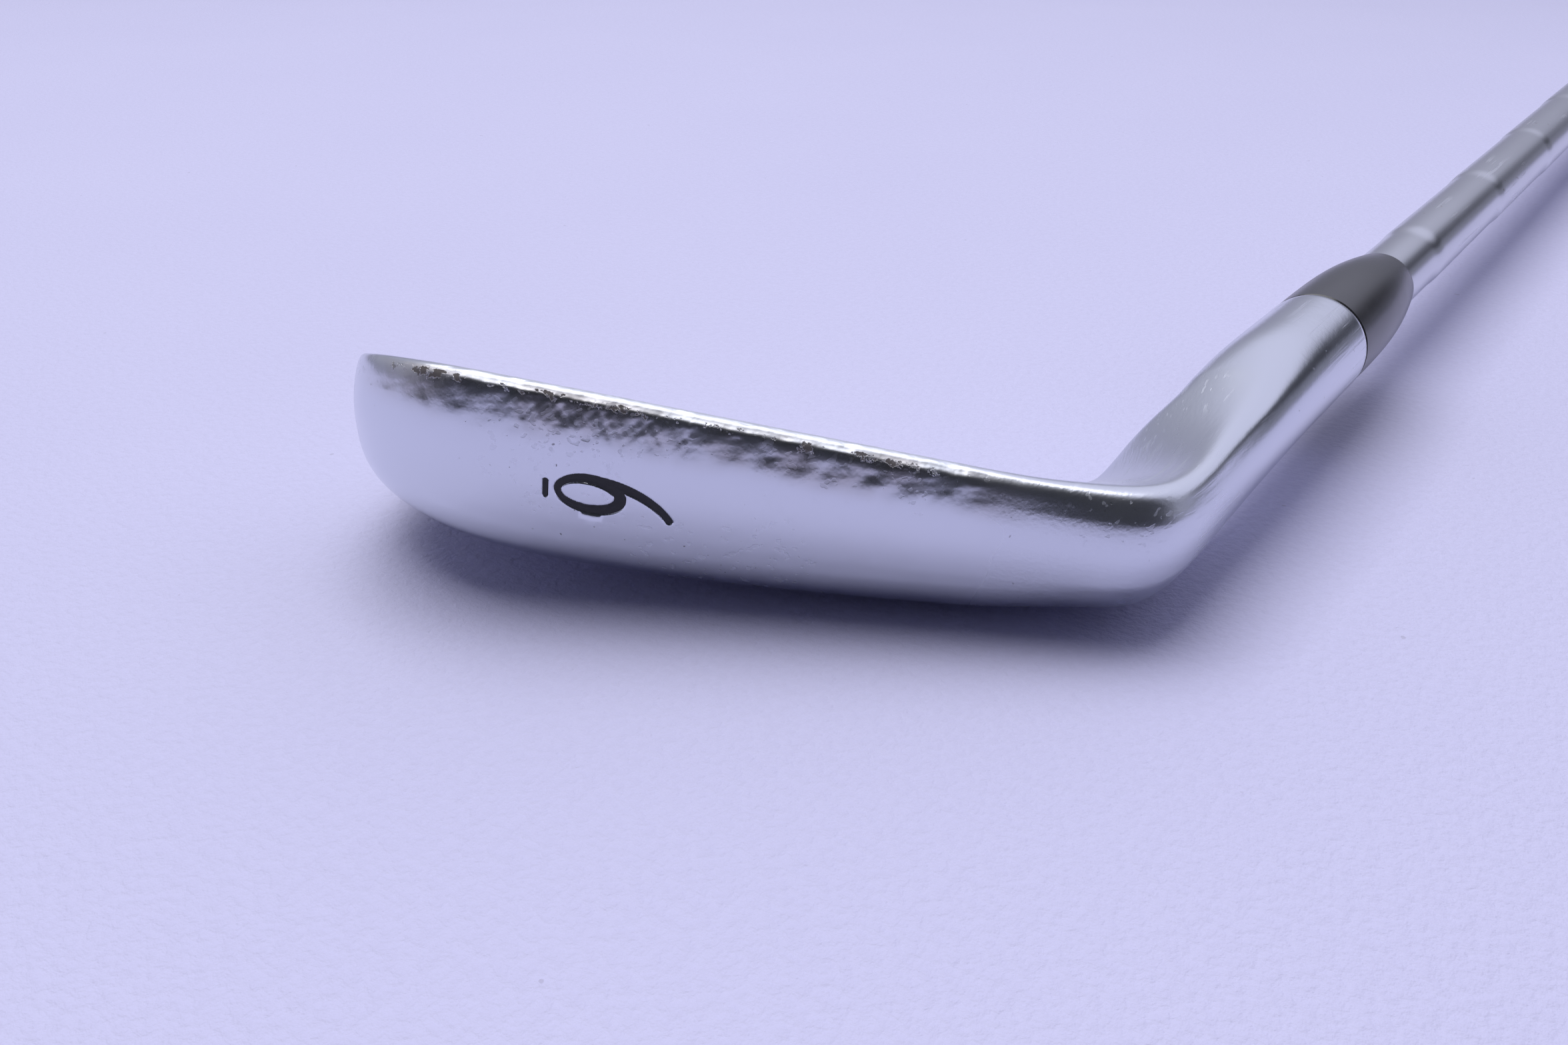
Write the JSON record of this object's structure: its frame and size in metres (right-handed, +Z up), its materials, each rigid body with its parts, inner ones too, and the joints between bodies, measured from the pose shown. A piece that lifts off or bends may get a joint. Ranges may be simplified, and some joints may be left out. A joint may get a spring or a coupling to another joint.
{
  "type": "iron golf club",
  "caption": "Right-handed iron golf club with a chromed blade head, a black ferrule, a stepped steel shaft and a rubber grip, lying face up.",
  "frame": {"origin": "middle of the bottom of the bounding box, on the surface the club lies on", "axes": "+Y runs along the shaft from the head to the grip, +Z is up off the surface, and the head's toe points towards -X"},
  "size_m": [0.1006, 0.982, 0.0266],
  "materials": {
    "head_chrome": "polished chrome plate over forged steel, worn and nicked along the leading edge",
    "number_paint": "black enamel filled into the engraved number",
    "shaft_chrome": "bright plated steel tube",
    "adhesive": "cured epoxy",
    "plug_metal": "dull metal weight",
    "ferrule_plastic": "black plastic, satin from handling",
    "band_film": "printed film with no lettering",
    "tape": "paper tape under the grip",
    "grip_rubber": "black moulded rubber, matte",
    "cap_rubber": "black moulded rubber, smooth"
  },
  "bodies": {
    "root": {"iron_head": "head_chrome", "number_paint_six": "number_paint", "number_paint_dash": "number_paint", "shaft": "shaft_chrome", "hosel_adhesive": "adhesive", "swing_weight_plug": "plug_metal", "ferrule": "ferrule_plastic", "shaft_band": "band_film", "grip_tape": "tape", "grip": "grip_rubber", "grip_end_cap": "cap_rubber"}
  },
  "joints": []
}
